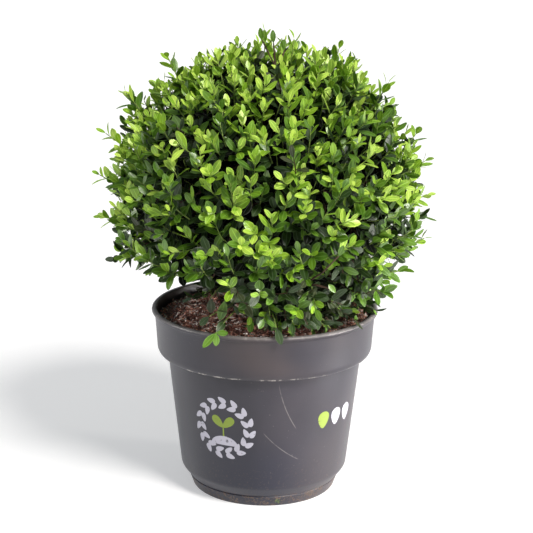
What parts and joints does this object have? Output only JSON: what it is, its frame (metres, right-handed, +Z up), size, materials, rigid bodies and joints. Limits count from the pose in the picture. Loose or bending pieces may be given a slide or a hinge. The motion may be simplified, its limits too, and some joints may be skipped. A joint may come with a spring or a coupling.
{
  "type": "potted japanese holly",
  "caption": "Clipped ball-shaped evergreen shrub with small leaves on a short stem, growing in a round tapered nursery pot with a deep collar.",
  "frame": {"origin": "centre of the pot's flat underside, on the ground", "axes": "+Z up along the pot's axis; -Y towards the front, the side a viewer faces; +X to that viewer's right"},
  "size_m": [0.3844, 0.3741, 0.5354],
  "materials": {
    "pot_plastic": "satin dark warm grey moulded plastic, lightly scuffed",
    "soil_peat": "loose reddish brown bark and peat",
    "bark": "fine grey-brown bark",
    "leaf_green": "small glossy evergreen leaves with fresh yellow-green tips"
  },
  "bodies": {
    "root": {"pot": "pot_plastic", "soil": "soil_peat", "trunk": "bark", "bough_upper_1": "bark", "bough_upper_2": "bark", "bough_upper_3": "bark", "bough_upper_4": "bark", "bough_side_1": "bark", "bough_side_2": "bark", "bough_side_3": "bark", "bough_side_4": "bark", "bough_side_5": "bark", "bough_side_6": "bark", "crown_top": "leaf_green", "crown_upper_1": "leaf_green", "crown_upper_2": "leaf_green", "crown_upper_3": "leaf_green", "crown_upper_4": "leaf_green", "crown_side_1": "leaf_green", "crown_side_2": "leaf_green", "crown_side_3": "leaf_green", "crown_side_4": "leaf_green", "crown_side_5": "leaf_green", "crown_side_6": "leaf_green"}
  },
  "joints": []
}
